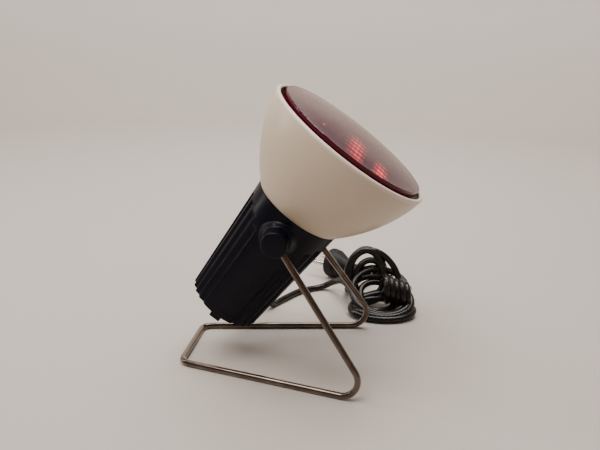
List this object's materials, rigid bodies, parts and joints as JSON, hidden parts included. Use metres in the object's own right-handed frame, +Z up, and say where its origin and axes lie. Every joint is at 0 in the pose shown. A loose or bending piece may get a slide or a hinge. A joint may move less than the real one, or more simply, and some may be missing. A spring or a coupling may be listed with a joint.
{
  "type": "tilting infrared heat lamp",
  "caption": "Heat lamp with a deep bowl shade and reflector bulb on a ribbed housing that tilts on a bent wire stand, with a coiled supply cord and a two-pin plug.",
  "frame": {"origin": "on the floor straight below the middle of the tilt axis", "axes": "+Z up; +X towards the side the lamp faces; +Y along the tilt axis towards the side where the coiled cord lies"},
  "size_m": [0.1857, 0.2659, 0.2158],
  "materials": {
    "chromed_wire": "bright plated wire",
    "nickel": "bright nickel plate",
    "black_plastic": "satin moulded, fine grain",
    "fibre": "pressed fibre",
    "steel": "zinc plated",
    "nylon": "natural nylon",
    "cord_sheath": "smooth glossy sheath",
    "black_rubber": "moulded satin",
    "cream_enamel": "satin enamel",
    "white_ceramic": "glazed",
    "brass": "stamped and turned",
    "aluminium": "spun, slightly dull",
    "brown_insulation": "smooth",
    "blue_insulation": "smooth",
    "lens_glass": "red stained, fine prisms on the inside",
    "mirrored_glass": "silvered on the inside",
    "black_glass": "fused glass",
    "clear_glass": "drawn and pressed",
    "tungsten": "drawn wire"
  },
  "bodies": {
    "stand": {"wire_stand": "chromed_wire", "pivot_cap_left": "black_plastic", "pivot_cap_right": "black_plastic", "friction_washers": "fibre", "spring_washers": "steel", "retaining_rings": "chromed_wire", "cord_lead": "cord_sheath", "cord_coil": "cord_sheath", "plug_body": "black_rubber", "plug_pins": "nickel"},
    "head": {"housing": "black_plastic", "rear_cap": "black_plastic", "rear_cap_screws": "steel", "pivot_bushes": "nylon", "shade": "cream_enamel", "shade_clamp_ring": "steel", "shade_screws": "steel", "holder_plate": "steel", "plate_screws": "steel", "lampholder_body": "white_ceramic", "lampholder_screws": "steel", "lampholder_sleeve": "brass", "centre_contact": "brass", "terminal_blocks": "brass", "terminal_screws": "brass", "cord_grommet": "black_rubber", "cord_tail": "cord_sheath", "cord_clamp": "nylon", "cord_clamp_screws": "steel", "lead_live": "brown_insulation", "lead_neutral": "blue_insulation"},
    "bulb": {"bulb_lens": "lens_glass", "bulb_reflector": "mirrored_glass", "bulb_skirt": "aluminium", "bulb_screw_cap": "aluminium", "bulb_insulator": "black_glass", "bulb_contact": "nickel", "bulb_stem": "clear_glass", "filament": "tungsten", "filament_supports": "tungsten"}
  },
  "joints": [
    {"name": "tilt", "type": "hinge", "parent": "stand", "child": "head", "pos_m": [0, 0, 0.11], "axis": [0, 1, 0], "range_deg": [-50, 72], "deforming": ["cord_lead"]},
    {"name": "bulb_removal", "type": "slide", "parent": "head", "child": "bulb", "axis": [0.5779, 0, 0.8161], "range_m": [0, 0.14]}
  ]
}
